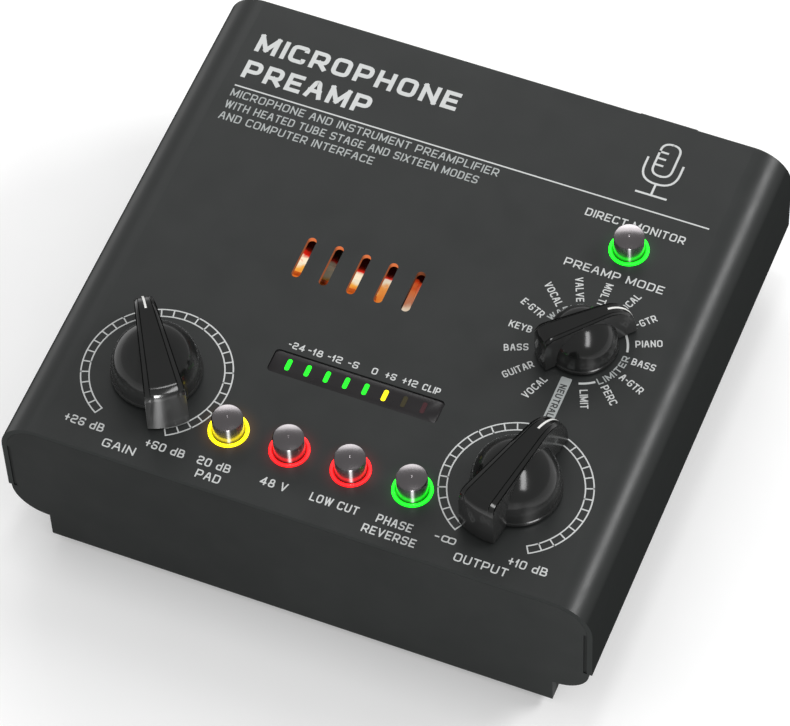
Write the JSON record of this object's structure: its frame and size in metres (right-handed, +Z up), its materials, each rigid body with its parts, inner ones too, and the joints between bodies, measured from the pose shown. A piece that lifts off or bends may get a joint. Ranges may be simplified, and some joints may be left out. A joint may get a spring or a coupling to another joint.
{
  "type": "microphone preamp",
  "caption": "Desktop microphone preamp: wrap-round metal case on a plinth, bar knobs, lit push buttons, lamp meter, vented glowing tube, rear audio sockets.",
  "frame": {"origin": "middle of the bounding box at the height of the surface the feet stand on", "axes": "+X to the user's right, +Y from the front panel to the rear connectors, +Z up"},
  "size_m": [0.1346, 0.128, 0.0544],
  "materials": {
    "case_paint": "satin",
    "panel_paint": "satin",
    "tray_plastic": "fine texture",
    "knob_plastic": "gloss",
    "pointer_white": "satin",
    "steel": "nickel plated",
    "black_steel": "black oxide",
    "pot_body": "moulded",
    "cap_chrome": "dark chrome",
    "light_yellow": "translucent, lit",
    "light_red": "translucent, lit",
    "light_green": "translucent, lit",
    "led_red_off": "translucent, unlit",
    "smoked_window": "smoked",
    "board_green": "solder mask",
    "white_plastic": "moulded",
    "black_plastic": "moulded",
    "can_sleeve": "shrink sleeve",
    "glow_amber": "lit",
    "tube_glass": "clear",
    "tube_metal": "grey metal",
    "pin_metal": "nickel",
    "ceramic": "glazed",
    "gold": "gold plated",
    "rubber": "matte"
  },
  "bodies": {
    "chassis": {"top_cover": "case_paint", "bottom_tray": "tray_plastic", "front_panel": "panel_paint", "rear_panel": "panel_paint", "case_screws": "black_steel", "rubber_feet": "rubber", "gain_pot": "pot_body", "output_pot": "pot_body", "mode_encoder": "pot_body", "shaft_washers": "steel", "shaft_nuts": "steel", "pad_light_ring": "light_yellow", "phantom_light_ring": "light_red", "low_cut_light_ring": "light_red", "phase_light_ring": "light_green", "monitor_light_ring": "light_green", "push_switches": "white_plastic", "meter_window": "smoked_window", "green_meter_leds": "light_green", "yellow_meter_leds": "light_yellow", "red_meter_led": "led_red_off", "control_board": "board_green", "board_spacers": "white_plastic", "board_header": "black_plastic", "main_board": "board_green", "board_screws": "steel", "capacitors": "can_sleeve", "amplifier_chips": "black_plastic", "glow_leds": "glow_amber", "tube_glass": "tube_glass", "tube_plates": "tube_metal", "tube_pins": "pin_metal", "tube_socket": "ceramic", "socket_board": "board_green", "combo_jack": "black_plastic", "combo_contacts": "gold", "xlr_output": "black_plastic", "xlr_pins": "steel", "jack_output": "black_plastic", "jack_nut": "steel", "connector_screws": "black_steel", "usb_port": "steel", "power_inlet": "black_plastic", "power_switch": "black_plastic"},
    "gain_dial": {"gain_knob": "knob_plastic", "gain_pointer": "pointer_white", "gain_shaft": "steel"},
    "output_dial": {"output_knob": "knob_plastic", "output_pointer": "pointer_white", "output_shaft": "steel"},
    "mode_dial": {"mode_knob": "knob_plastic", "mode_pointer": "pointer_white", "mode_shaft": "steel"},
    "combo_release": {"combo_latch": "black_plastic"},
    "power_push": {"power_button": "black_plastic"},
    "pad_push": {"pad_button": "cap_chrome"},
    "phantom_push": {"phantom_button": "cap_chrome"},
    "low_cut_push": {"low_cut_button": "cap_chrome"},
    "phase_push": {"phase_button": "cap_chrome"},
    "monitor_push": {"monitor_button": "cap_chrome"}
  },
  "joints": [
    {"name": "gain_turn", "type": "hinge", "parent": "chassis", "child": "gain_dial", "pos_m": [-0.0406, -0.04065, 0.0415], "axis": [0, 0, 1], "range_deg": [-184, 116]},
    {"name": "output_turn", "type": "hinge", "parent": "chassis", "child": "output_dial", "pos_m": [0.0414, -0.04065, 0.0415], "axis": [0, 0, 1], "range_deg": [-135, 165]},
    {"name": "mode_turn", "type": "hinge", "parent": "chassis", "child": "mode_dial", "pos_m": [0.0415, -0.00205, 0.0415], "axis": [0, 0, 1], "continuous": true},
    {"name": "pad_press", "type": "slide", "parent": "chassis", "child": "pad_push", "axis": [0, 0, -1], "range_m": [0, 0.0015], "stiffness_N_per_m": 400},
    {"name": "phantom_press", "type": "slide", "parent": "chassis", "child": "phantom_push", "axis": [0, 0, -1], "range_m": [0, 0.0015], "stiffness_N_per_m": 400},
    {"name": "low_cut_press", "type": "slide", "parent": "chassis", "child": "low_cut_push", "axis": [0, 0, -1], "range_m": [0, 0.0015], "stiffness_N_per_m": 400},
    {"name": "phase_press", "type": "slide", "parent": "chassis", "child": "phase_push", "axis": [0, 0, -1], "range_m": [0, 0.0015], "stiffness_N_per_m": 400},
    {"name": "monitor_press", "type": "slide", "parent": "chassis", "child": "monitor_push", "axis": [0, 0, -1], "range_m": [0, 0.0015], "stiffness_N_per_m": 400},
    {"name": "power_press", "type": "slide", "parent": "chassis", "child": "power_push", "axis": [0, -1, 0], "range_m": [0, 0.0015], "stiffness_N_per_m": 400},
    {"name": "release_press", "type": "slide", "parent": "chassis", "child": "combo_release", "axis": [0, 0, -1], "range_m": [0, 0.0012], "stiffness_N_per_m": 600}
  ]
}
